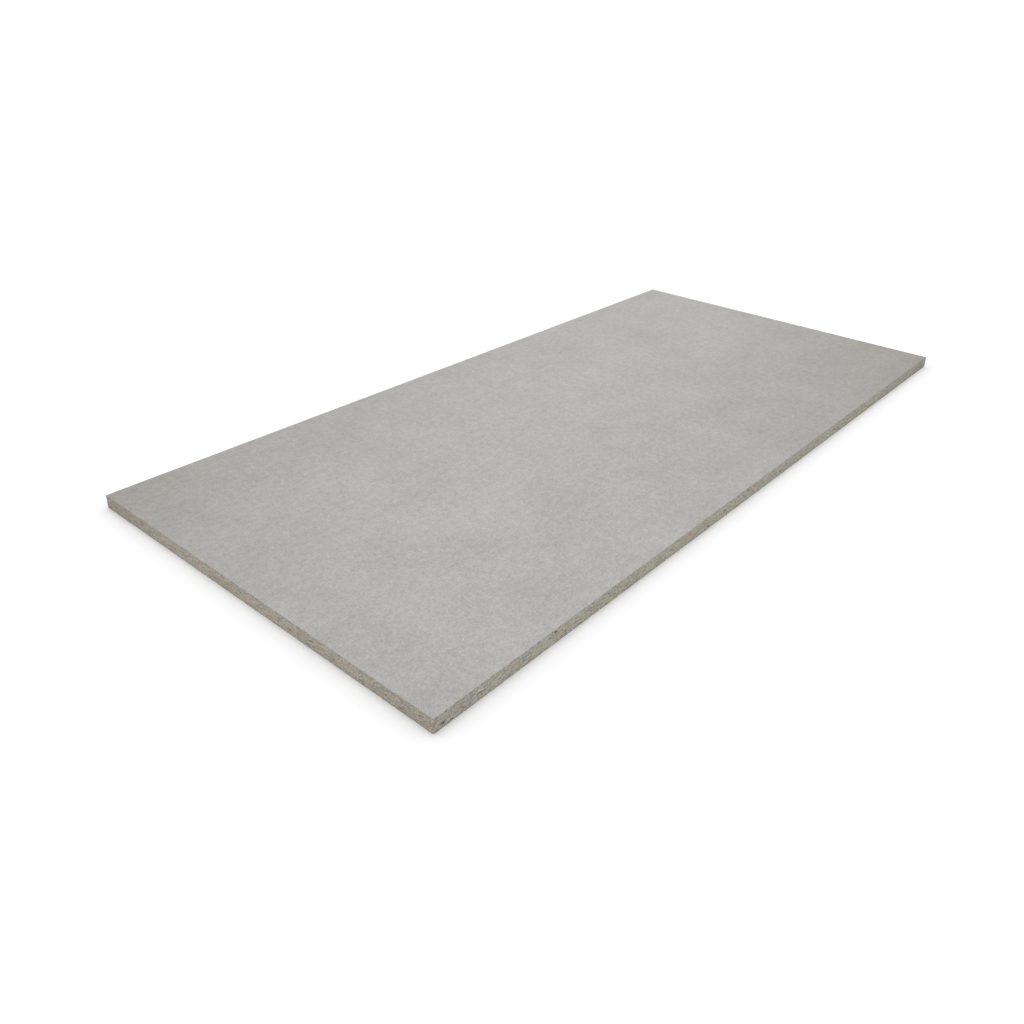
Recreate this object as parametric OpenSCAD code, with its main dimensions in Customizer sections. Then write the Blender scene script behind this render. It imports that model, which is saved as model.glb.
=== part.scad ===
// Cement-bonded particle board: one rectangular sheet, pressed flat and sawn to size.
// Frame: +X along the length, +Y along the width, +Z up out of the face.
// The origin is the centre of the underside, so the sheet lies on Z = 0.
// All sizes are in millimetres.

/* [Sheet] */
// Length of the sheet, between its two short sawn edges
sheet_length = 1250; // [300:10:3350]
// Width of the sheet, between its two long sawn edges
sheet_width = 600; // [200:10:1250]
// Thickness of the sheet, between its two pressed faces
sheet_thickness = 18; // [8:1:40]

/* [Edges] */
// Radius of the arris, where a pressed face meets a sawn edge
face_arris_radius = 0.5; // [0.2:0.1:2]
// Radius of the upright arris, where two sawn edges meet at a corner
corner_arris_radius = 0.8; // [0.2:0.1:5]

/* [Hidden] */
// Cement grey of the pressed faces
cement_grey = [0.70, 0.69, 0.67];
// Segments of an arris, enough for a smooth quarter round
arris_segments = 48;

// Rectangle centred on the origin, with a quarter round of the radius at each corner
module eased_rectangle(size, radius) {
    union() {
        square([size.x - 2 * radius, size.y], center = true);
        square([size.x, size.y - 2 * radius], center = true);
        for (side_x = [-1, 1], side_y = [-1, 1])
            translate([side_x * (size.x / 2 - radius), side_y * (size.y / 2 - radius)])
                circle(radius, $fn = arris_segments);
    }
}

// The outline seen from above, standing on Z = 0
module plan_form() {
    linear_extrude(sheet_thickness)
        eased_rectangle([sheet_length, sheet_width], corner_arris_radius);
}

// The cross section, drawn out along the length
module long_form() {
    translate([-sheet_length / 2, 0, sheet_thickness / 2])
        rotate([90, 0, 90])
            linear_extrude(sheet_length)
                eased_rectangle([sheet_width, sheet_thickness], face_arris_radius);
}

// The long section, drawn out along the width
module cross_form() {
    translate([0, sheet_width / 2, sheet_thickness / 2])
        rotate([90, 0, 0])
            linear_extrude(sheet_width)
                eased_rectangle([sheet_length, sheet_thickness], face_arris_radius);
}

// The sheet is what the three forms share, which eases all twelve of its edges
module board() {
    color(cement_grey)
        intersection() {
            plan_form();
            long_form();
            cross_form();
        }
}

board();
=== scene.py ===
import math
from collections import namedtuple
from functools import partial, reduce

import bpy
from bpy.props import FloatProperty, FloatVectorProperty, IntProperty, PointerProperty
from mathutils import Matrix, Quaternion, Vector


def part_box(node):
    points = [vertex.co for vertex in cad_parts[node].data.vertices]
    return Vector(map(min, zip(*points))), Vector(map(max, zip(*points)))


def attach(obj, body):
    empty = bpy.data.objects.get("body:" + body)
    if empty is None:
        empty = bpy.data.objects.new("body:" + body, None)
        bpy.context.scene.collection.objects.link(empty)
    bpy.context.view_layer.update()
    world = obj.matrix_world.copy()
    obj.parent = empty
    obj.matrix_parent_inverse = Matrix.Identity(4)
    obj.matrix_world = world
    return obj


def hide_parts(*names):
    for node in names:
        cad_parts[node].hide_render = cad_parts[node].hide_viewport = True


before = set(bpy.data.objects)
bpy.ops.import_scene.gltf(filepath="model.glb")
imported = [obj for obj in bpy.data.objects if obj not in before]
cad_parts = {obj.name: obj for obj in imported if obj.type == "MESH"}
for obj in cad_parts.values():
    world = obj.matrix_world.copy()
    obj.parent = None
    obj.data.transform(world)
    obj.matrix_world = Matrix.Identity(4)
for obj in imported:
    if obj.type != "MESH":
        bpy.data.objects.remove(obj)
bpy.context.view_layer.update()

bl_info = {
    "name": "Cement Board",
    "version": (1, 0, 0),
    "blender": (4, 5, 0),
    "location": "3D View > Sidebar > Cement Board",
    "description": "Makes a cement-bonded particle board with sawn edges, and a studio for it",
    "category": "Add Mesh",
}

MM = 0.001
PIECE = "cement_board_sheet"
BODY = "root"
NODE = "board"
LOW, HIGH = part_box(NODE)
SIZE = HIGH - LOW
CENTRE = (LOW + HIGH) / 2
# The sheet in millimetres, as the patterns take it
HALF_LENGTH = SIZE.x / 2 / MM
HALF_WIDTH = SIZE.y / 2 / MM
THICKNESS = SIZE.z / MM


# ---------------------------------------------------------------------------------------------
# Sizes and colours that a user would change
# ---------------------------------------------------------------------------------------------

def length(name, description, millimetres):
    """A size in metres, with its default in millimetres."""
    return FloatProperty(name=name, description=description, default=millimetres * MM, min=0.0,
                         precision=5, unit="LENGTH")


def share(name, description, default):
    """A number from 0 to 1."""
    return FloatProperty(name=name, description=description, default=default, min=0.0, max=1.0,
                         subtype="FACTOR")


def count(name, description, default, least):
    """A whole number."""
    return IntProperty(name=name, description=description, default=default, min=least)


def colour(name, description, default, most=1.0):
    """A colour in linear light."""
    return FloatVectorProperty(name=name, description=description, default=default, min=0.0,
                               max=most, size=3, subtype="COLOR")


def angle(name, description, degrees):
    """An angle in radians, with its default in degrees."""
    return FloatProperty(name=name, description=description, default=math.radians(degrees),
                         subtype="ANGLE")


class SheetMesh(bpy.types.PropertyGroup):
    """How finely the sheet is meshed and how its arrises are eased"""
    face_arris: length("Face arris", "Radius where a pressed face meets a sawn edge", 0.5)
    corner_arris: length("Corner arris", "Radius where two sawn edges meet", 0.8)
    long_cells: count("Cells along the length", "Coarse cells in the middle of a face", 62, 2)
    short_cells: count("Cells along the width", "Coarse cells in the middle of a face", 30, 2)
    edge_rows: count("Rows on an edge", "Rows of faces up the flat of a sawn edge", 21, 4)


class SawnRelief(bpy.types.PropertyGroup):
    """How deeply the saw and the chips have broken the edges"""
    chip_depth: length("Chip depth", "Depth of a chip that the saw pulled out", 0.3)
    pit_depth: length("Pit depth", "Depth of the gaps that were left between chips", 1.1)
    saw_depth: length("Saw depth", "Height of the waves that the saw left", 0.08)
    arris_wear: length("Arris wear", "Depth of the crumbs lost from the arrises", 0.6)
    seed: FloatProperty(name="Seed", description="Moves every pattern of the chips", default=66.6)


class SheetFinish(bpy.types.PropertyGroup):
    """Colours of the pressed faces and the sawn edges"""
    cement: colour("Cement", "Cement skin of the pressed faces", (0.4498, 0.4435, 0.4220))
    # Painted shade: the skin's colour where the light falls off, at two opposite corners and the
    # ends
    cement_falloff_shade: colour("Dry cement", "Darker, warmer skin at two corners", (0.343, 0.321, 0.302))
    grout: colour("Grout", "Cement between the chips of a sawn edge", (0.330, 0.317, 0.286))
    chip_grey: colour("Grey chip", "Chips stained by cement", (0.372, 0.362, 0.320))
    chip_tan: colour("Tan chip", "Chips of bare, pinkish wood", (0.408, 0.336, 0.268))
    chip_olive: colour("Olive chip", "Chips with a greenish stain", (0.350, 0.358, 0.264))
    chip_brown: colour("Brown chip", "Dark chips and bark", (0.200, 0.165, 0.128))
    chip_pale: colour("Pale chip", "Splinters of clean, light wood", (0.450, 0.420, 0.360))
    # Painted shade: near black, for the shade inside the gaps between chips
    pit: colour("Pit", "Inside of a gap between chips", (0.050, 0.043, 0.036))
    bump: share("Bump", "Strength of the relief that is too fine for the mesh", 0.6)
    bump_depth: length("Bump depth", "Depth of the relief that is too fine for the mesh", 0.25)


class Studio(bpy.types.PropertyGroup):
    """Floor, light and camera"""
    floor_white: colour("Floor", "Floor paint as it lights the sheet", (0.995, 0.995, 0.995))
    floor_seen: colour("Floor seen", "Floor paint as the camera sees it", (1.05, 1.053, 1.062), 2.0)
    sky: share("Sky", "Light from the white room all round", 0.9)
    key: FloatProperty(name="Key", description="Strength of the soft lamp", default=0.334, min=0.0)
    key_azimuth: angle("Key azimuth", "Direction of the soft lamp round the sheet", 140.0)
    key_elevation: angle("Key elevation", "Height of the soft lamp over the floor", 70.0)
    key_spread: angle("Key spread", "How wide the soft lamp is, as the sheet sees it", 22.0)
    azimuth: angle("Azimuth", "Direction of the camera round the sheet", -49.81)
    elevation: angle("Elevation", "Height of the camera's line of sight", 23.71)
    roll: angle("Roll", "Lean of the camera about its line of sight", 1.284)
    distance: FloatProperty(name="Distance", description="From the camera to the point it looks at",
                            default=1.529, unit="LENGTH")
    lens: FloatProperty(name="Lens", description="Focal length in millimetres, on a 36 mm sensor",
                        default=32.994)


PROPERTIES = {
    "sheet_mesh": SheetMesh,
    "sawn_relief": SawnRelief,
    "sheet_finish": SheetFinish,
    "studio": Studio,
}


# ---------------------------------------------------------------------------------------------
# Node trees
# ---------------------------------------------------------------------------------------------

# A noise whose main lumps are about size across
Noise = namedtuple("Noise", "size detail rough", defaults=(2.0, 0.5))
# A smooth step from low at start to high at end
Fade = namedtuple("Fade", "start end low high", defaults=(0.0, 1.0))

# Kinds of socket
NUMBER = "NodeSocketFloat"
VECTOR = "NodeSocketVector"
COLOUR = "NodeSocketColor"
SHAPE = "NodeSocketGeometry"

BLACK = (0.0, 0.0, 0.0)
# Spacing of the nodes as the editor shows them
NODE_COLUMN = 220
NODE_ROW = 190


class Tree:
    """Adds nodes to one tree. An input is given as a number, a tuple or another node's socket."""

    def __init__(self, tree):
        self.tree = tree

    def put(self, socket, value):
        """Sets an input, or links it to another node's socket."""
        if isinstance(value, bpy.types.NodeSocket):
            self.tree.links.new(value, socket)
        elif socket.type == "RGBA" and len(value) == 3:
            socket.default_value = (*value, 1.0)
        else:
            socket.default_value = value

    def fill(self, node, inputs):
        """Sets the inputs of a node, given by name or number."""
        for key, value in inputs.items():
            self.put(node.inputs[key], value)

    def add(self, kind, inputs=None, **settings):
        """A new node. Settings come first, because a group has no inputs before its tree is set."""
        node = self.tree.nodes.new(kind)
        for name, value in settings.items():
            setattr(node, name, value)
        self.fill(node, inputs or {})
        return node

    def math(self, operation, *values, clamp=False):
        node = self.add("ShaderNodeMath", dict(enumerate(values)), operation=operation,
                        use_clamp=clamp)
        return node.outputs[0]

    def vector(self, operation, *values):
        node = self.add("ShaderNodeVectorMath", dict(enumerate(values)), operation=operation)
        return node.outputs["Value" if operation == "LENGTH" else "Vector"]

    def scaled(self, vector, factor):
        node = self.add("ShaderNodeVectorMath", {"Vector": vector, "Scale": factor},
                        operation="SCALE")
        return node.outputs[0]

    def split(self, vector):
        """The three parts of a vector."""
        return self.add("ShaderNodeSeparateXYZ", {0: vector}).outputs

    def channels(self, colour):
        """The three parts of a colour."""
        family = "Function" if self.tree.type == "GEOMETRY" else "Shader"
        return self.add(family + "NodeSeparateColor", {0: colour}).outputs[:3]

    def join(self, x, y, z):
        return self.add("ShaderNodeCombineXYZ", {0: x, 1: y, 2: z}).outputs[0]

    def fade(self, value, fade):
        """The step that a Fade describes."""
        node = self.add("ShaderNodeMapRange", interpolation_type="SMOOTHSTEP")
        for socket, given in zip(node.inputs, (value, *fade)):
            self.put(socket, given)
        return node.outputs[0]

    def about(self, value, gain, middle=0.5):
        """How far a value is from its middle, times gain."""
        return self.math("MULTIPLY_ADD", value, gain, -middle * gain)

    def total(self, *values):
        return reduce(partial(self.math, "ADD"), values)

    def product(self, *values):
        return reduce(partial(self.math, "MULTIPLY"), values)

    def less(self, value, taken):
        """A value less what is taken from it."""
        return self.math("SUBTRACT", value, taken)

    def balance(self, values, gains):
        """The sum of named values, each about its middle and times its own gain."""
        return self.total(*(self.about(values[name], gain) for name, gain in gains.items()))

    def mix(self, factor, a, b, kind="RGBA", clamp=True):
        node = self.add("ShaderNodeMix", data_type=kind, clamp_factor=clamp)
        sockets = [s for s in node.inputs if s.enabled]
        for socket, given in zip(sockets, (factor, a, b)):
            self.put(socket, given)
        return [s for s in node.outputs if s.enabled][0]

    def lit(self, colour, level):
        """A colour times a level, as a mix that starts from black."""
        return self.mix(level, BLACK, colour, clamp=False)

    def noise_and_colour(self, position, noise):
        """A noise's value and its colour."""
        node = self.add("ShaderNodeTexNoise", {"Vector": position, "Scale": 1.0 / noise.size,
                                               "Detail": noise.detail, "Roughness": noise.rough})
        return node.outputs[:2]

    def noise(self, position, noise):
        """A noise's value."""
        return self.noise_and_colour(position, noise)[0]

    def cells(self, position, flat=False):
        """Voronoi cells of unit size: distance to the centre, a random colour and the centre."""
        node = self.add("ShaderNodeTexVoronoi", {"Vector": position, "Scale": 1.0},
                        voronoi_dimensions="2D" if flat else "3D")
        return node.outputs["Distance"], node.outputs["Color"], node.outputs["Position"]

    def outline(self, position):
        """How far a place is from the border of its Voronoi cell."""
        node = self.add("ShaderNodeTexVoronoi", {"Vector": position, "Scale": 1.0},
                        feature="DISTANCE_TO_EDGE")
        return node.outputs["Distance"]

    def arrange(self):
        """Sets the nodes out in columns, each to the left of what it feeds."""
        column = {node: 0 for node in self.tree.nodes}
        moved = True
        while moved:
            moved = False
            for link in self.tree.links:
                if column[link.from_node] <= column[link.to_node]:
                    column[link.from_node] = column[link.to_node] + 1
                    moved = True
        rows = {}
        for node, place in column.items():
            rows[place] = rows.get(place, 0) + 1
            node.location = (-NODE_COLUMN * place, -NODE_ROW * rows[place])


def empty_tree(owner):
    """The Tree of a new material or world, without the nodes that it comes with."""
    owner.use_nodes = True
    owner.node_tree.nodes.clear()
    return Tree(owner.node_tree)


def new_group(name, kind, inputs, outputs):
    """A node group with named sockets: its Tree, its input sockets by name, and its output node."""
    group = bpy.data.node_groups.new(name, kind)
    for socket_name, socket_type, *default in inputs:
        socket = group.interface.new_socket(socket_name, in_out="INPUT", socket_type=socket_type)
        if default:
            socket.default_value = default[0]
    for socket_name, socket_type in outputs:
        group.interface.new_socket(socket_name, in_out="OUTPUT", socket_type=socket_type)
    tree = Tree(group)
    given = tree.add("NodeGroupInput").outputs
    result = tree.add("NodeGroupOutput")
    return tree, given, result


# ---------------------------------------------------------------------------------------------
# Patterns that the relief and the colours share. Positions and sizes in them are in millimetres.
# ---------------------------------------------------------------------------------------------

# The seed moves the chips this many times as far along y as along x
SEED_STRIDE = 7.0
# Sizes of the chips as a sawn edge shows them: along the sheet and through its thickness
CORE_CHIP = (6.2, 1.1)
FINE_CHIP = (2.9, 0.65)
# Spacing of the gaps between chips, along the sheet and through its thickness
PIT_SPACING = (8.5, 4.2)
# How the chips are bent, and how far along x, y and z
BEND = Noise(7.0)
BEND_REACH = (5.0, 5.0, 1.8)
# Depth of the finer outer layers, and how the line under them sways
OUTER_LAYER = 2.8
LAYER_LINE = Noise(14.0)
LAYER_SWAY = Fade(0.3, 0.7, -0.9, 0.9)
CORE_BEGINS = Fade(OUTER_LAYER * 0.7, OUTER_LAYER * 1.3)
# Patches of fine chips inside the core, and how strongly they take it over
FINE_PATCH = Noise(12.0, detail=1.0)
FINE_PATCH_EDGE = Fade(0.45, 0.62)
FINE_PATCH_STRENGTH = 0.8
# A place is either core or fine, with hardly anything in between
CORE_OR_FINE = Fade(0.42, 0.58)
# The chance of a chip at which the saw starts to pull it out, and at which it is all out
PULLED_CHANCE = Fade(0.55, 0.95)
# A pit's radius from its chance, its torn outline, its rim, and how deep under a face pits begin
PIT_RADIUS = Fade(0.45, 1.0, 0.0, 0.21)
TORN = Noise(1.5, rough=0.6)
TORN_REACH = 0.3
PIT_RIM = Fade(-0.04, 0.04)
PITS_BEGIN = Fade(0.8, 1.8)


def flattened(tree, position, along, through):
    """Position in units of one flat cell that lies in the plane of the sheet."""
    return tree.vector("MULTIPLY", position, (1.0 / along, 1.0 / along, 1.0 / through))


def depth_from_faces(tree, z, thickness):
    """How far a height is from the nearer pressed face."""
    return tree.math("MINIMUM", z, tree.less(thickness, z))


def sawn_pattern(tree, position, thickness, seed):
    """What a sawn edge shows: each chip's random colour, how far it is pulled out, and the pits."""
    shift = tree.join(seed, tree.product(seed, SEED_STRIDE), 0.0)
    moved = tree.vector("ADD", position, shift)
    bends = zip(tree.channels(tree.noise_and_colour(moved, BEND)[1]), BEND_REACH)
    bent = tree.vector("ADD", moved, tree.join(*(tree.about(bend, reach) for bend, reach in bends)))
    core_place = flattened(tree, bent, *CORE_CHIP)
    fine_place = flattened(tree, bent, *FINE_CHIP)
    _, core, _ = tree.cells(core_place)
    _, fine, _ = tree.cells(fine_place)
    depth = depth_from_faces(tree, tree.split(position)[2], thickness)
    uneven = tree.total(depth, tree.fade(tree.noise(moved, LAYER_LINE), LAYER_SWAY))
    core_share = tree.fade(uneven, CORE_BEGINS)
    patches = tree.fade(tree.noise(moved, FINE_PATCH), FINE_PATCH_EDGE)
    patches = tree.product(patches, FINE_PATCH_STRENGTH)
    pick = tree.fade(tree.product(core_share, tree.less(1.0, patches)), CORE_OR_FINE)
    chips = tree.mix(pick, fine, core)
    pulled = tree.fade(tree.channels(chips)[0], PULLED_CHANCE)
    near, kind, _ = tree.cells(flattened(tree, bent, *PIT_SPACING))
    radius = tree.fade(tree.channels(kind)[0], PIT_RADIUS)
    torn = tree.about(tree.noise(moved, TORN), TORN_REACH)
    pit = tree.fade(tree.total(radius, torn, tree.product(near, -1.0)), PIT_RIM)
    pit = tree.product(pit, tree.fade(uneven, PITS_BEGIN))
    return {"place": moved, "chips": chips, "pulled": pulled, "pit": pit, "core": core_share,
            "pick": pick, "core_place": core_place, "fine_place": fine_place}


# ---------------------------------------------------------------------------------------------
# The sheet: a closed mesh, with fine rows round the sawn edges and a coarse grid on the faces
# ---------------------------------------------------------------------------------------------

# The mesh on a pressed face doubles its step this many times between the rim and the middle
DOUBLINGS = 4
RIM_STEPS = 2 ** DOUBLINGS
# Width of the rim, and of a ring for each step of its mesh
RIM_WIDTH = 1.5 * MM
RING_WIDTH = 1.2 * MM
# Half-way round, a round arris is this share of its radius away from each side's plane
EASED = 1 - math.sqrt(0.5)
# The texture map, in shares of its side: the two faces one above the other, and the edges over them
MAP_MARGIN = 0.004
MAP_FACE_HEIGHT = 0.4585
MAP_STRIP_HEIGHT = 0.0207
# The row of the map for each side's strip. The two short sides share one, half of it each.
MAP_ROWS = (0, 2, 1, 2)


def side_stations(size, corner, segments):
    """Places along one side: its corner, even steps between the corners' rounds, and its corner."""
    flat = size - 2 * corner
    even = [-flat / 2 + flat * i / (segments - 2) for i in range(segments - 1)]
    return [-size / 2] + even + [size / 2]


class SheetBlank:
    """Builds the closed mesh of the sheet, ring by ring."""

    def __init__(self, shape):
        self.arris = shape.face_arris
        self.corner = shape.corner_arris
        self.segments = (shape.long_cells * RIM_STEPS, shape.short_cells * RIM_STEPS)
        self.stations = [side_stations(SIZE[axis], self.corner, self.segments[axis])
                         for axis in (0, 1)]
        self.rows = shape.edge_rows
        self.vertices = []
        self.faces = []
        self.map = []

    def point(self, x, y, z):
        """A new vertex, given from the middle of the underside. Gives its number."""
        self.vertices.append((CENTRE.x + x, CENTRE.y + y, LOW.z + z))
        return len(self.vertices) - 1

    def side_point(self, side, station, inset):
        """A point of the ring at this inset. Side 0 starts at the corner with the least x and y."""
        axis = side % 2
        along = self.stations[axis][station]
        half = SIZE[axis] / 2
        across = SIZE[1 - axis] / 2 - inset
        along *= (half - inset) / half
        if station == 0:
            eased = EASED * max(self.corner - inset, 0.0)
            along += eased
            across -= eased
        turn = ((along, -across), (across, along), (-along, across), (-across, -along))
        return turn[side]

    def ring(self, inset, z, step=1):
        """The vertices of one ring. The last station of a side is the first of the next."""
        made = []
        for side in range(4):
            for station in range(0, self.segments[side % 2], step):
                made.append(self.point(*self.side_point(side, station, inset), z))
        return made

    def face(self, corners, places):
        """Keeps a face, and where its corners lie on the texture map."""
        self.faces.append(corners)
        self.map.extend(places)

    def flat_place(self, index, top):
        """Where a vertex of a pressed face lies on the texture map."""
        x, y, _ = self.vertices[index]
        u = (x - LOW.x) / SIZE.x
        v = (y - LOW.y) / SIZE.y
        base = MAP_MARGIN if top else 2 * MAP_MARGIN + MAP_FACE_HEIGHT
        return (MAP_MARGIN + u * (1 - 2 * MAP_MARGIN), base + v * MAP_FACE_HEIGHT)

    def flat_face(self, corners, top):
        """A face of the top, or of the underside, where it is turned over."""
        corners = corners if top else corners[::-1]
        self.face(corners, [self.flat_place(index, top) for index in corners])

    def strip_place(self, side, station, height):
        """Where a point of a sawn edge lies on the texture map."""
        axis = side % 2
        u = 0.5 + self.stations[axis][station] / SIZE[axis]
        row = MAP_ROWS[side]
        base = 2 * MAP_FACE_HEIGHT + (3 + row) * MAP_MARGIN + row * MAP_STRIP_HEIGHT
        width = (1 - 2 * MAP_MARGIN) if axis == 0 else (0.5 - 1.5 * MAP_MARGIN)
        start = MAP_MARGIN if side != 3 else 0.5 + 0.5 * MAP_MARGIN
        return (start + u * width, base + height * MAP_STRIP_HEIGHT)

    def edge_band(self, lower, upper, low_share, high_share):
        """Faces between two rings of the sawn edges."""
        at = 0
        for side in range(4):
            for station in range(self.segments[side % 2]):
                after = (at + 1) % len(lower)
                self.face((lower[at], lower[after], upper[after], upper[at]), [
                    self.strip_place(side, station, low_share),
                    self.strip_place(side, station + 1, low_share),
                    self.strip_place(side, station + 1, high_share),
                    self.strip_place(side, station, high_share)])
                at += 1

    def profile(self):
        """Inset and height of each ring, from the underside round the edge to the top."""
        eased = self.arris * EASED
        flat = SIZE.z - 2 * self.arris
        lower = [(self.arris, 0.0), (eased, eased)]
        upper = [(inset, SIZE.z - z) for inset, z in reversed(lower)]
        sawn = [(0.0, self.arris + flat * i / self.rows) for i in range(self.rows + 1)]
        return lower + sawn + upper

    def pressed_face(self, rim, z, top):
        """A rim one step wide, rings that double the step, and a plain grid in the middle."""
        inset = self.arris + RIM_WIDTH
        inner = self.ring(inset, z)
        for i, index in enumerate(rim):
            after = (i + 1) % len(rim)
            self.flat_face((index, rim[after], inner[after], inner[i]), top)
        step = 1
        while step < RIM_STEPS:
            outer = inner
            step *= 2
            inset += RING_WIDTH * step
            inner = self.ring(inset, z, step)
            for i, index in enumerate(inner):
                after = inner[(i + 1) % len(inner)]
                first, middle = outer[2 * i], outer[2 * i + 1]
                last = outer[(2 * i + 2) % len(outer)]
                self.flat_face((first, middle, index), top)
                self.flat_face((middle, after, index), top)
                self.flat_face((middle, last, after), top)
        self.middle_grid(inner, z, top)

    def middle_grid(self, ring, z, top):
        """A grid whose border is the last ring."""
        across, up = (segments // RIM_STEPS for segments in self.segments)
        grid = {}
        for i in range(across):
            grid[i, 0] = ring[i]
            grid[across - i, up] = ring[across + up + i]
        for j in range(up):
            grid[across, j] = ring[across + j]
            grid[0, up - j] = ring[(2 * across + up + j) % len(ring)]
        for i in range(1, across):
            for j in range(1, up):
                x = self.vertices[grid[i, 0]][0] - CENTRE.x
                y = self.vertices[grid[across, j]][1] - CENTRE.y
                grid[i, j] = self.point(x, y, z)
        for i in range(across):
            for j in range(up):
                corners = (grid[i, j], grid[i + 1, j], grid[i + 1, j + 1], grid[i, j + 1])
                self.flat_face(corners, top)

    def build(self, name):
        """The whole mesh, with its texture map."""
        rings = [self.ring(inset, z) for inset, z in self.profile()]
        last = len(rings) - 1
        # The map's strip stops half a row short of the pressed faces
        heights = [0.5 / last] + [i / last for i in range(1, last)] + [(last - 0.5) / last]
        for i in range(last):
            self.edge_band(rings[i], rings[i + 1], heights[i], heights[i + 1])
        self.pressed_face(rings[0], 0.0, False)
        self.pressed_face(rings[last], SIZE.z, True)
        mesh = bpy.data.meshes.new(name)
        mesh.from_pydata(self.vertices, [], self.faces)
        layer = mesh.uv_layers.new(name="OFBake")
        layer.uv.foreach_set("vector", [number for place in self.map for number in place])
        mesh.shade_smooth()
        return mesh


# ---------------------------------------------------------------------------------------------
# Relief of the sawn edges, as a Geometry Nodes tree
# ---------------------------------------------------------------------------------------------

# How far inside the sawn edges a vertex still counts as on an edge, or as on the rim of a face
ON_EDGE = Fade(0.3, 0.05)
ON_RIM = Fade(1.2, 0.6)
# How far from a pressed face the arris crumbles, and the pattern of its crumbs
ARRIS_REACH = Fade(2.2, 0.3)
ARRIS_CRUMBS = Noise(5.0, detail=3.0, rough=0.6)
ARRIS_CRUMB_EDGE = Fade(0.56, 0.72)
SAW_WAVES = Noise(4.0, detail=4.0, rough=0.65)


def relief_tree(material):
    """Presses chips, pits, saw waves and crumbled arrises into the edges. Nothing moves out."""
    numbers = ("Length", "Width", "Thickness", "Chip depth", "Pit depth", "Saw depth", "Arris wear",
               "Seed")
    inputs = [("Geometry", SHAPE)] + [(name, NUMBER, 0.0) for name in numbers]
    outputs = [("Geometry", SHAPE)]
    tree, given, result = new_group("Sawn relief", "GeometryNodeTree", inputs, outputs)
    place = tree.add("GeometryNodeInputPosition").outputs[0]
    position = tree.scaled(tree.vector("SUBTRACT", place, (CENTRE.x, CENTRE.y, LOW.z)), 1.0 / MM)
    x, y, z = tree.split(position)
    sizes = [tree.product(given[name], 1.0 / MM) for name in ("Length", "Width", "Thickness")]
    pattern = sawn_pattern(tree, position, sizes[2], given["Seed"])
    inset = tree.math("MINIMUM", *(
        tree.less(tree.math("DIVIDE", size, 2.0), tree.math("ABSOLUTE", at))
        for size, at in ((sizes[0], x), (sizes[1], y))))
    on_edge = tree.fade(inset, ON_EDGE)
    depth = depth_from_faces(tree, z, sizes[2])
    near_arris = tree.product(tree.fade(depth, ARRIS_REACH), tree.fade(inset, ON_RIM))
    crumbs = tree.fade(tree.noise(position, ARRIS_CRUMBS), ARRIS_CRUMB_EDGE)
    waves = tree.noise(position, SAW_WAVES)
    lost = tree.total(
        tree.product(pattern["pulled"], given["Chip depth"], on_edge),
        tree.product(pattern["pit"], given["Pit depth"], on_edge),
        tree.product(waves, given["Saw depth"], on_edge),
        tree.product(crumbs, given["Arris wear"], near_arris))
    normal = tree.add("GeometryNodeInputNormal").outputs[0]
    offset = tree.scaled(normal, tree.product(lost, -1.0))
    pressed = tree.add("GeometryNodeSetPosition", {"Geometry": given["Geometry"], "Offset": offset})
    real = tree.add("GeometryNodeRealizeInstances", {0: pressed.outputs[0]})
    dressed = tree.add("GeometryNodeSetMaterial",
                       {"Geometry": real.outputs[0], "Material": material})
    tree.put(result.inputs[0], dressed.outputs[0])
    tree.arrange()
    return tree.tree


def applied(ob, tree, values):
    """Runs a Geometry Nodes tree on an object and keeps the result as its plain mesh."""
    modifier = ob.modifiers.new("Relief", "NODES")
    modifier.node_group = tree
    for item in tree.interface.items_tree:
        if item.item_type == "SOCKET" and item.in_out == "INPUT" and item.name in values:
            modifier[item.identifier] = values[item.name]
    depsgraph = bpy.context.evaluated_depsgraph_get()
    mesh = bpy.data.meshes.new_from_object(ob.evaluated_get(depsgraph))
    ob.modifiers.remove(modifier)
    blank = ob.data
    name = blank.name
    ob.data = mesh
    bpy.data.meshes.remove(blank)
    mesh.name = name


# ---------------------------------------------------------------------------------------------
# Finish of the pressed faces
# ---------------------------------------------------------------------------------------------

# Slivers in the skin, one to a cell: long and wide are their half length and half width
Slivers = namedtuple("Slivers", "spacing long wide strength")
# Marks in some cells of a pattern that is moved to its own place: least is the chance from which a
# cell has one, and strength is below 0 where they are darker than the skin
Marks = namedtuple("Marks", "place spacing long wide least strength")

# The parts of the endless cloud and blotch patterns that this sheet was cut from
CLOUD_PLACE = (355.0, -8380.0, 0.0)
BLOTCH_PLACE = (-12647.0, 12256.0, 0.0)
CLOUD = Noise(260.0)
BLOTCH = Noise(95.0, rough=0.9)
GRAIN = Noise(9.5, detail=5.0, rough=0.95)
GRIT = Noise(2.6, detail=3.0, rough=0.8)
# How much each of them lightens the skin, and raises it
SKIN_TONE = {"cloud": -0.16, "blotch": 0.29, "grain": 0.95, "grit": 0.75}
SKIN_HEIGHT = {"grain": 1.0, "grit": 0.5}
# A pinhole's height is its tone times this
PINHOLE_HEIGHT = 3.0
SKIN_ROUGHNESS = Fade(0.2, 0.8, 0.78, 0.9)
# Each face has its own part of the flat patterns, moved along x and y by this times its height
FACE_STRIDE = (37.0, 91.0)

SLIVERS = (Slivers(spacing=9.0, long=4.2, wide=0.55, strength=0.05),
           Slivers(spacing=5.0, long=2.2, wide=0.4, strength=0.055),
           Slivers(spacing=3.1, long=1.2, wide=0.3, strength=0.05))
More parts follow.
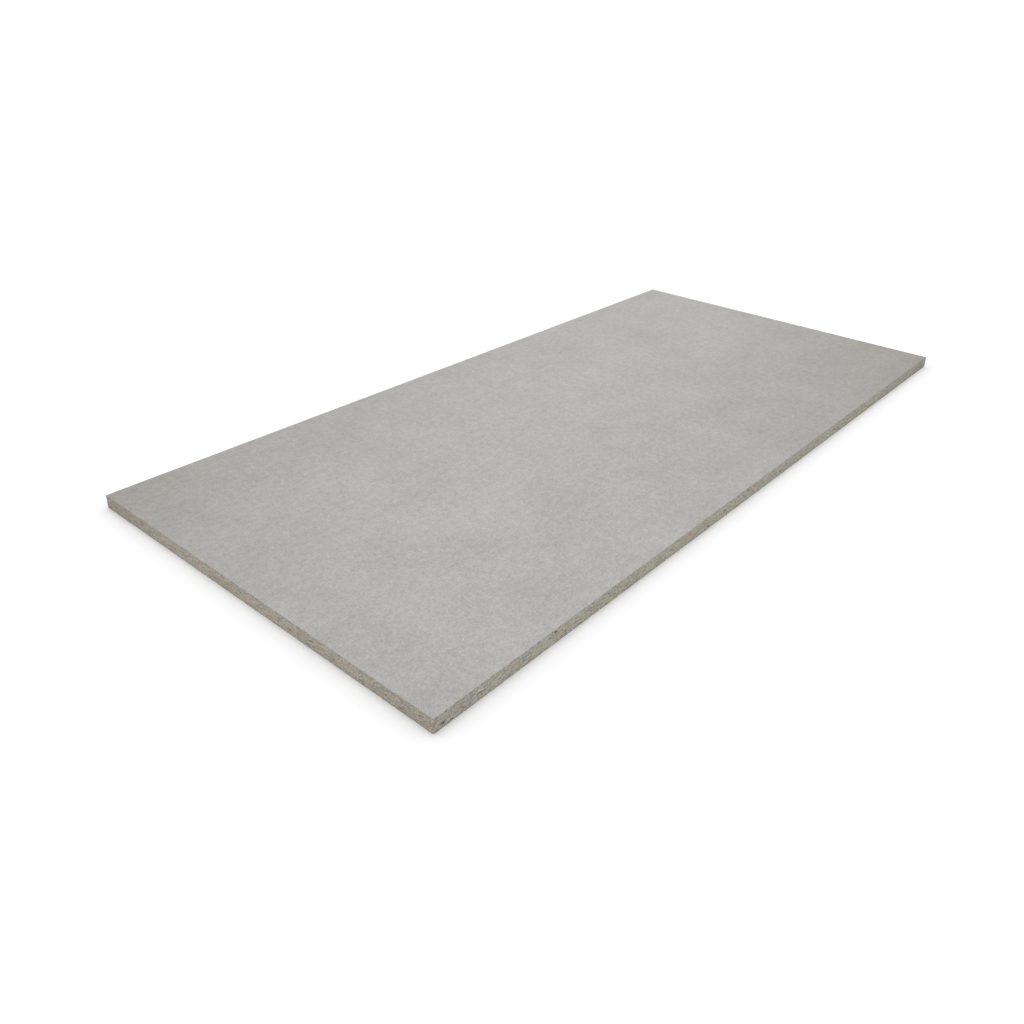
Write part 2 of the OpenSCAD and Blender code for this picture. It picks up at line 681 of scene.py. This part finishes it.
# The chance at which a sliver is neither darker nor lighter than the skin
SLIVER_MIDDLE = 0.52
PINHOLES = Marks((311.0, 97.0), spacing=16.0, long=0.75, wide=0.6, least=0.42, strength=-0.28)
SPECKS = Marks((53.0, 211.0), spacing=13.0, long=0.8, wide=0.55, least=0.4, strength=0.12)
DENTS = Marks((171.0, 29.0), spacing=24.0, long=2.6, wide=1.6, least=0.4, strength=-0.07)
SPLINTERS = Marks((131.0, 403.0), spacing=21.0, long=6.0, wide=0.6, least=0.45, strength=0.13)
# The chance at which a mark has its whole strength
WHOLE_CHANCE = 0.9
# From the outline of a sliver or mark, which is at 1, to where it is at its whole strength
FLECK_RIM = Fade(1.0, 0.45)

# Painted shade: two opposite corners and the ends are darker and warmer, where the light falls off.
# How far the lit middle is off the sheet's own, how far a cloud moves it, and how much darker the
# sheet gets with the square of the way to a corner and to an end
FALLOFF_SHIFT = 0.06
FALLOFF_WANDER = 0.1
FALLOFF_CORNER = 0.87
FALLOFF_END = 0.088


def fleck(tree, position, spacing, long, wide):
    """An oval in each cell, turned its own way. Gives its mask and its three random numbers."""
    scaled = tree.scaled(position, 1.0 / spacing)
    _, random, centre = tree.cells(scaled, flat=True)
    chance = tree.channels(random)
    local = tree.scaled(tree.vector("SUBTRACT", scaled, centre), spacing)
    turned = tree.add("ShaderNodeVectorRotate",
                      {"Vector": local, "Angle": tree.product(chance[2], math.tau)},
                      rotation_type="Z_AXIS").outputs[0]
    shape = tree.vector("LENGTH", tree.vector("MULTIPLY", turned, (1.0 / long, 1.0 / wide, 0.0)))
    return tree.fade(shape, FLECK_RIM), chance


def slivers(tree, position, kind):
    """A sliver in every cell that shows faintly through the skin, some darker and some lighter."""
    mask, chance = fleck(tree, position, kind.spacing, kind.long, kind.wide)
    return tree.product(mask, tree.about(chance[0], kind.strength * 2, SLIVER_MIDDLE))


def marks(tree, position, kind):
    """Marks that are lighter or darker than the skin, in the cells whose chance is high enough."""
    moved = tree.vector("ADD", position, (*kind.place, 0.0))
    mask, chance = fleck(tree, moved, kind.spacing, kind.long, kind.wide)
    strength = tree.fade(chance[1], Fade(kind.least, WHOLE_CHANCE, 0.0, kind.strength))
    return tree.product(mask, strength)


def cement_group():
    """The pressed face: cement skin with clouds, grain, faint slivers, pinholes and specks."""
    inputs = [("Position", VECTOR), ("Cement", COLOUR), ("Dry cement", COLOUR),
              ("Half length", NUMBER, HALF_LENGTH), ("Half width", NUMBER, HALF_WIDTH)]
    outputs = [("Color", COLOUR), ("Height", NUMBER), ("Roughness", NUMBER), ("Dry", NUMBER)]
    tree, given, result = new_group("Pressed cement", "ShaderNodeTree", inputs, outputs)
    x, y, z = tree.split(given["Position"])
    flat = tree.join(tree.math("MULTIPLY_ADD", z, FACE_STRIDE[0], x),
                     tree.math("MULTIPLY_ADD", z, FACE_STRIDE[1], y), 0.0)
    along = tree.math("DIVIDE", x, given["Half length"])
    across = tree.math("DIVIDE", y, given["Half width"])
    slant = tree.product(tree.less(along, across), 0.5)
    cloud = tree.noise(tree.vector("ADD", flat, CLOUD_PLACE), CLOUD)
    # Painted shade: the skin gets darker and warmer towards two opposite corners and the ends
    away = tree.total(slant, FALLOFF_SHIFT, tree.about(cloud, FALLOFF_WANDER))
    falloff_shade = tree.math("ADD", tree.product(away, away, FALLOFF_CORNER),
                    tree.product(along, along, FALLOFF_END), clamp=True)
    base = tree.mix(falloff_shade, given["Cement"], given["Dry cement"])
    skin = {
        "cloud": cloud,
        "blotch": tree.noise(tree.vector("ADD", flat, BLOTCH_PLACE), BLOTCH),
        "grain": tree.noise(flat, GRAIN),
        "grit": tree.noise(flat, GRIT),
    }
    under_skin = [slivers(tree, flat, kind) for kind in SLIVERS]
    tone = tree.total(tree.balance(skin, SKIN_TONE), *under_skin)
    pinholes = marks(tree, flat, PINHOLES)
    others = [marks(tree, flat, kind) for kind in (SPECKS, DENTS, SPLINTERS)]
    tone = tree.total(tone, pinholes, *others)
    holes = tree.product(pinholes, PINHOLE_HEIGHT)
    tree.fill(result, {
        "Color": tree.lit(base, tree.total(1.0, tone)),
        "Height": tree.total(tree.balance(skin, SKIN_HEIGHT), holes),
        "Dry": falloff_shade,
        "Roughness": tree.fade(skin["blotch"], SKIN_ROUGHNESS),
    })
    tree.arrange()
    return tree.tree


# ---------------------------------------------------------------------------------------------
# Finish of the sawn edges
# ---------------------------------------------------------------------------------------------

# A chip's wood follows from broad patches and from its own chance
PATCH = Noise(16.0, detail=3.0, rough=0.65)
PATCH_GAIN = 2.9
CHANCE_GAIN = 0.5
TAN_SHARE = Fade(-0.15, 0.25)
OLIVE_SHARE = Fade(-0.1, 0.3)
BROWN_CHANCE = Fade(0.92, 0.94)
PALE_CHANCE = Fade(0.09, 0.07)
# The lean towards tan, bare wood on a long edge, and how much more of it there is on a short one,
# where the saw cuts across most of the chips
BARE_WOOD = -0.1
BARE_END_GRAIN = 0.23
# Fibres and speckle run along the sheet: position times this draws them out
FIBRES = Noise(0.35, rough=0.6)
FIBRE_RUN = (0.1, 0.1, 1.0)
FIBRE_TONE = 0.55
SPECKLE = Noise(1.5, detail=3.0, rough=0.8)
SPECKLE_RUN = (0.6, 0.6, 1.0)
CRUMBS = Noise(1.1, detail=3.0, rough=0.7)
# Grout lies along the chips' crumbled outlines, in smears, and over the fine outer layers
OUTLINE_CRUMBLE = 0.4
GROUT_LINE = Fade(0.1, 0.02)
SMEARS = Noise(2.2, detail=3.0, rough=0.6)
SMEAR_EDGE = Fade(0.46, 0.56, 0.0, 0.5)
SKIN_GROUT = 0.4
GROUT_COVER = 0.8
# A chip's own shade is the fraction that its chance leaves when it is multiplied by this
SHADE_DRAW = 7.0
# How much each pattern lightens the edge, and raises it
EDGE_TONE = {"own": 0.42, "crumbs": 1.3, "speckle": 2.1, "patch": -0.15}
PULLED_TONE = -0.1
EDGE_HEIGHT = {"fibres": 0.3, "crumbs": 0.4, "speckle": 0.4}
GROUT_HEIGHT = 0.15
PULLED_HEIGHT = -0.5
PIT_HEIGHT = -1.0


def sawn_group():
    """The sawn edge: chips of several woods in grout, finer towards the faces, with dark pits."""
    colours = ("Grout", "Grey chip", "Tan chip", "Olive chip", "Brown chip", "Pale chip", "Pit")
    inputs = [("Position", VECTOR), ("Thickness", NUMBER, THICKNESS), ("Seed", NUMBER, 0.0),
              ("End grain", NUMBER, 0.0)]
    inputs += [(name, COLOUR) for name in colours]
    outputs = [("Color", COLOUR), ("Height", NUMBER)]
    tree, given, result = new_group("Sawn chips", "ShaderNodeTree", inputs, outputs)
    pattern = sawn_pattern(tree, given["Position"], given["Thickness"], given["Seed"])
    first, second, third = tree.channels(pattern["chips"])
    patch, patches = tree.noise_and_colour(pattern["place"], PATCH)
    _, other, last = tree.channels(patches)
    bare = tree.math("MULTIPLY_ADD", given["End grain"], BARE_END_GRAIN, BARE_WOOD)
    tan = tree.total(bare, tree.about(other, PATCH_GAIN), tree.about(second, CHANCE_GAIN))
    tan = tree.fade(tan, TAN_SHARE)
    olive = tree.total(tree.about(last, PATCH_GAIN), tree.about(third, CHANCE_GAIN))
    olive = tree.fade(olive, OLIVE_SHARE)
    chips = tree.mix(olive, given["Grey chip"], given["Olive chip"])
    chips = tree.mix(tan, chips, given["Tan chip"])
    chips = tree.mix(tree.fade(first, BROWN_CHANCE), chips, given["Brown chip"])
    chips = tree.mix(tree.fade(first, PALE_CHANCE), chips, given["Pale chip"])
    fibres = tree.noise(tree.vector("MULTIPLY", pattern["place"], FIBRE_RUN), FIBRES)
    chips = tree.lit(chips, tree.total(1.0, tree.about(fibres, FIBRE_TONE)))
    crumbs = tree.noise(given["Position"], CRUMBS)
    outline = tree.mix(pattern["pick"], tree.outline(pattern["fine_place"]),
                       tree.outline(pattern["core_place"]), kind="FLOAT")
    outline = tree.less(outline, tree.about(crumbs, OUTLINE_CRUMBLE))
    skin = tree.product(tree.less(1.0, pattern["core"]), SKIN_GROUT)
    smeared = tree.fade(tree.noise(given["Position"], SMEARS), SMEAR_EDGE)
    grout = tree.math("MAXIMUM", smeared, skin)
    grout = tree.math("MAXIMUM", tree.fade(outline, GROUT_LINE), grout)
    body = tree.mix(tree.product(grout, GROUT_COVER), chips, given["Grout"])
    looks = {
        "own": tree.math("FRACT", tree.product(second, SHADE_DRAW)),
        "crumbs": crumbs,
        "speckle": tree.noise(tree.vector("MULTIPLY", given["Position"], SPECKLE_RUN), SPECKLE),
        "patch": patch,
        "fibres": fibres,
    }
    shade = tree.total(1.0, tree.balance(looks, EDGE_TONE),
                       tree.product(pattern["pulled"], PULLED_TONE))
    tree.fill(result, {
        # Painted shade: the pits take the near-black pit colour over the mesh's own pits
        "Color": tree.mix(pattern["pit"], tree.lit(body, shade), given["Pit"]),
        "Height": tree.total(tree.balance(looks, EDGE_HEIGHT),
                             tree.product(grout, GROUT_HEIGHT),
                             tree.product(pattern["pulled"], PULLED_HEIGHT),
                             tree.product(pattern["pit"], PIT_HEIGHT)),
    })
    tree.arrange()
    return tree.tree


# ---------------------------------------------------------------------------------------------
# The line between the two finishes, and the whole material
# ---------------------------------------------------------------------------------------------

# The pressed face gives way to the sawn edge along a ragged line on the arris
RAGGED = Noise(3.0, detail=3.0, rough=0.6)
RAGGED_REACH = Fade(0.3, 0.7, -0.25, 0.35)
SAWN_BEGINS = Fade(-0.1, 0.15)
# The distance from the short edges less that from the long ones: where a place is on a long edge,
# and where it is on a short one
SHORT_EDGE = Fade(1.0, -1.0)
# The saw leaves the layer under the skin darker in places
BURNT_DEPTH = Fade(2.4, 0.9)
BURNT = Noise(34.0)
BURNT_EDGE = Fade(0.42, 0.6)
# Hands leave the ends of an edge darker, the corner between two edges rubs paler, and an edge takes
# painted shade where the face beside it has its painted falloff shade
HANDLED_REACH = Fade(150.0, 10.0)
RUBBED_REACH = Fade(2.2, 0.7)
EDGE_FALLOFF_POWER = 1.5
# The level of a sawn edge, and what each of these adds to it
EDGE_LEVEL = 1.02
BURNT_TONE = -0.07
HANDLED_TONE = -0.085
RUBBED_TONE = 0.1
EDGE_FALLOFF_TONE = -0.14

SAWN_ROUGHNESS = 0.92
# The pressed face's bump, as a share of the sawn edge's
SKIN_BUMP = 0.12


def arris_group():
    """Where the pressed face gives way to the sawn edge, and how light the edge is there."""
    inputs = [("Position", VECTOR), ("Half length", NUMBER, HALF_LENGTH),
              ("Half width", NUMBER, HALF_WIDTH), ("Thickness", NUMBER, THICKNESS),
              ("Dry", NUMBER, 0.0)]
    outputs = [("Sawn", NUMBER), ("Tone", NUMBER), ("End grain", NUMBER)]
    tree, given, result = new_group("Arris", "ShaderNodeTree", inputs, outputs)
    x, y, z = tree.split(given["Position"])
    from_short = tree.less(given["Half length"], tree.math("ABSOLUTE", x))
    from_long = tree.less(given["Half width"], tree.math("ABSOLUTE", y))
    inset = tree.math("MINIMUM", from_short, from_long)
    depth = depth_from_faces(tree, z, given["Thickness"])
    ragged = tree.fade(tree.noise(given["Position"], RAGGED), RAGGED_REACH)
    over = tree.total(tree.less(depth, inset), ragged)
    burnt = tree.fade(tree.noise(given["Position"], BURNT), BURNT_EDGE)
    burnt = tree.product(tree.fade(depth, BURNT_DEPTH), burnt)
    from_corner = tree.math("MAXIMUM", from_short, from_long)
    handled = tree.fade(from_corner, HANDLED_REACH)
    rubbed = tree.fade(from_corner, RUBBED_REACH)
    # Painted shade: the edge is darker where the face beside it has its painted falloff shade
    edge_falloff_shade = tree.math("POWER", given["Dry"], EDGE_FALLOFF_POWER)
    tree.fill(result, {
        "Sawn": tree.fade(over, SAWN_BEGINS),
        "Tone": tree.total(EDGE_LEVEL, tree.product(burnt, BURNT_TONE),
                           tree.product(handled, HANDLED_TONE), tree.product(rubbed, RUBBED_TONE),
                           tree.product(edge_falloff_shade, EDGE_FALLOFF_TONE)),
        "End grain": tree.fade(tree.less(from_short, from_long), SHORT_EDGE),
    })
    tree.arrange()
    return tree.tree


def board_material(finish, seed):
    """Cement skin on the pressed faces and chips on the sawn edges, from Object coordinates."""
    material = bpy.data.materials.new("cement_board_finish")
    tree = empty_tree(material)
    place = tree.add("ShaderNodeTexCoord").outputs["Object"]
    position = tree.add("ShaderNodeMapping", {
        "Vector": place, "Location": Vector((-CENTRE.x, -CENTRE.y, -LOW.z)) / MM,
        "Scale": (1 / MM, 1 / MM, 1 / MM)}, vector_type="POINT").outputs[0]
    face = tree.add("ShaderNodeGroup", {
        "Position": position, "Cement": finish.cement, "Dry cement": finish.cement_falloff_shade,
        "Half length": HALF_LENGTH, "Half width": HALF_WIDTH}, node_tree=cement_group())
    arris = tree.add("ShaderNodeGroup", {
        "Position": position, "Half length": HALF_LENGTH, "Half width": HALF_WIDTH,
        "Thickness": THICKNESS, "Dry": face.outputs["Dry"]}, node_tree=arris_group())
    edge = tree.add("ShaderNodeGroup", {
        "Position": position, "Thickness": THICKNESS, "Seed": seed,
        "End grain": arris.outputs["End grain"], "Grout": finish.grout,
        "Grey chip": finish.chip_grey, "Tan chip": finish.chip_tan, "Olive chip": finish.chip_olive,
        "Brown chip": finish.chip_brown, "Pale chip": finish.chip_pale, "Pit": finish.pit},
        node_tree=sawn_group())
    sawn = arris.outputs["Sawn"]
    chips = tree.lit(edge.outputs["Color"], arris.outputs["Tone"])
    skin_height = tree.product(face.outputs["Height"], SKIN_BUMP)
    bump = tree.add("ShaderNodeBump", {
        "Height": tree.mix(sawn, skin_height, edge.outputs["Height"], kind="FLOAT"),
        "Strength": finish.bump, "Distance": finish.bump_depth})
    shader = tree.add("ShaderNodeBsdfPrincipled", {
        "Base Color": tree.mix(sawn, face.outputs["Color"], chips), "Normal": bump.outputs[0],
        "Roughness": tree.mix(sawn, face.outputs["Roughness"], SAWN_ROUGHNESS, kind="FLOAT")})
    output = tree.add("ShaderNodeOutputMaterial", {"Surface": shader.outputs[0]})
    output.is_active_output = True
    tree.arrange()
    return material


def placed(name, data):
    """A new object in the scene, at the origin."""
    ob = bpy.data.objects.new(name, data)
    bpy.context.scene.collection.objects.link(ob)
    return ob


class CEMENT_BOARD_OT_sheet(bpy.types.Operator):
    """Make the sheet, with the relief of its sawn edges and its finish"""
    bl_idname = "cement_board.sheet"
    bl_label = "Cement Board Sheet"

    def execute(self, context):
        scene = context.scene
        relief = scene.sawn_relief
        material = board_material(scene.sheet_finish, relief.seed)
        sheet = placed(PIECE, SheetBlank(scene.sheet_mesh).build(PIECE))
        applied(sheet, relief_tree(material), {
            "Length": SIZE.x, "Width": SIZE.y, "Thickness": SIZE.z,
            "Chip depth": relief.chip_depth, "Pit depth": relief.pit_depth,
            "Saw depth": relief.saw_depth, "Arris wear": relief.arris_wear, "Seed": relief.seed})
        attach(sheet, BODY)
        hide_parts(NODE)
        return {"FINISHED"}


# ---------------------------------------------------------------------------------------------
# The stage
# ---------------------------------------------------------------------------------------------

# The floor runs past the horizon of every view, and lies just under the sheet
FLOOR_REACH = 60.0
FLOOR_GAP = 0.05 * MM
# The frame's window is moved by these shares of its side, so the sheet sits in the middle
SHIFT = (-0.016, -0.11)
# The point the camera looks at, from the middle of the sheet, as shares of its size
AIM = Vector((-0.0053, 0.1975, 0.0))


def seen_rays(tree):
    """1 for what the camera sees, or a mirror or glass shows, and 0 for what only gives light."""
    ray = tree.add("ShaderNodeLightPath").outputs
    mirrored = tree.math("MAXIMUM", ray["Is Glossy Ray"], ray["Is Transmission Ray"])
    return tree.math("MAXIMUM", ray["Is Camera Ray"], mirrored)


def towards(azimuth, elevation):
    """The direction from the sheet to something at this azimuth, where 0 is -Y, and elevation."""
    flat = math.cos(elevation)
    return Vector((math.sin(azimuth) * flat, -math.cos(azimuth) * flat, math.sin(elevation)))


def floor(studio):
    """A white floor that takes the sheet's soft shadow."""
    mesh = bpy.data.meshes.new("floor")
    reach, z = FLOOR_REACH, LOW.z - FLOOR_GAP
    corners = ((-reach, -reach, z), (reach, -reach, z), (reach, reach, z), (-reach, reach, z))
    mesh.from_pydata(corners, [], [(0, 1, 2, 3)])
    material = bpy.data.materials.new("white_floor")
    tree = empty_tree(material)
    white = tree.mix(seen_rays(tree), studio.floor_white, studio.floor_seen)
    paint = tree.add("ShaderNodeBsdfDiffuse", {"Color": white})
    tree.add("ShaderNodeOutputMaterial", {"Surface": paint.outputs[0]})
    tree.arrange()
    mesh.materials.append(material)
    placed("floor", mesh)


def white_room(strength):
    """Even light from all round, and plain white where it is seen."""
    world = bpy.data.worlds.new("white_room")
    tree = empty_tree(world)
    level = tree.mix(seen_rays(tree), strength, 1.0, kind="FLOAT")
    background = tree.add("ShaderNodeBackground", {"Color": (1.0, 1.0, 1.0), "Strength": level})
    tree.add("ShaderNodeOutputWorld", {"Surface": background.outputs[0]})
    tree.arrange()
    bpy.context.scene.world = world


def soft_sun(studio):
    """A lamp far away, wide enough for soft shadows."""
    lamp = bpy.data.lights.new("key", "SUN")
    lamp.energy = studio.key
    lamp.angle = studio.key_spread
    shine = -towards(studio.key_azimuth, studio.key_elevation)
    placed("key", lamp).rotation_euler = shine.to_track_quat("-Z", "Y").to_euler()


def camera(studio):
    """Looks down on one corner of the sheet."""
    data = bpy.data.cameras.new("camera")
    data.lens = studio.lens
    data.shift_x, data.shift_y = SHIFT
    back = towards(studio.azimuth, studio.elevation)
    ob = placed("camera", data)
    ob.location = CENTRE + AIM * SIZE + back * studio.distance
    ob.rotation_mode = "QUATERNION"
    ob.rotation_quaternion = (-back).to_track_quat("-Z", "Y") @ Quaternion((0, 0, 1), studio.roll)
    bpy.context.scene.camera = ob


class CEMENT_BOARD_OT_stage(bpy.types.Operator):
    """Make the floor, the light and the camera"""
    bl_idname = "cement_board.stage"
    bl_label = "Studio"

    def execute(self, context):
        studio = context.scene.studio
        context.scene.view_settings.view_transform = "Standard"
        floor(studio)
        white_room(studio.sky)
        soft_sun(studio)
        camera(studio)
        return {"FINISHED"}


class CEMENT_BOARD_PT_panel(bpy.types.Panel):
    """Sizes, colours and buttons, in the sidebar of the 3D view"""
    bl_idname = "CEMENT_BOARD_PT_panel"
    bl_label = "Cement Board"
    bl_space_type = "VIEW_3D"
    bl_region_type = "UI"
    bl_category = "Cement Board"

    def draw(self, context):
        for name, group in PROPERTIES.items():
            box = self.layout.box()
            box.label(text=group.__doc__)
            for prop in group.__annotations__:
                box.prop(getattr(context.scene, name), prop)
        self.layout.operator(CEMENT_BOARD_OT_sheet.bl_idname)
        self.layout.operator(CEMENT_BOARD_OT_stage.bl_idname)


CLASSES = (*PROPERTIES.values(), CEMENT_BOARD_OT_sheet, CEMENT_BOARD_OT_stage,
           CEMENT_BOARD_PT_panel)


def register():
    for cls in CLASSES:
        bpy.utils.register_class(cls)
    for name, group in PROPERTIES.items():
        setattr(bpy.types.Scene, name, PointerProperty(type=group))


def unregister():
    for name in PROPERTIES:
        delattr(bpy.types.Scene, name)
    for cls in reversed(CLASSES):
        bpy.utils.unregister_class(cls)


def main():
    """Makes the sheet and the stage."""
    register()
    bpy.ops.cement_board.sheet()
    bpy.ops.cement_board.stage()


if __name__ == "__main__":
    main()
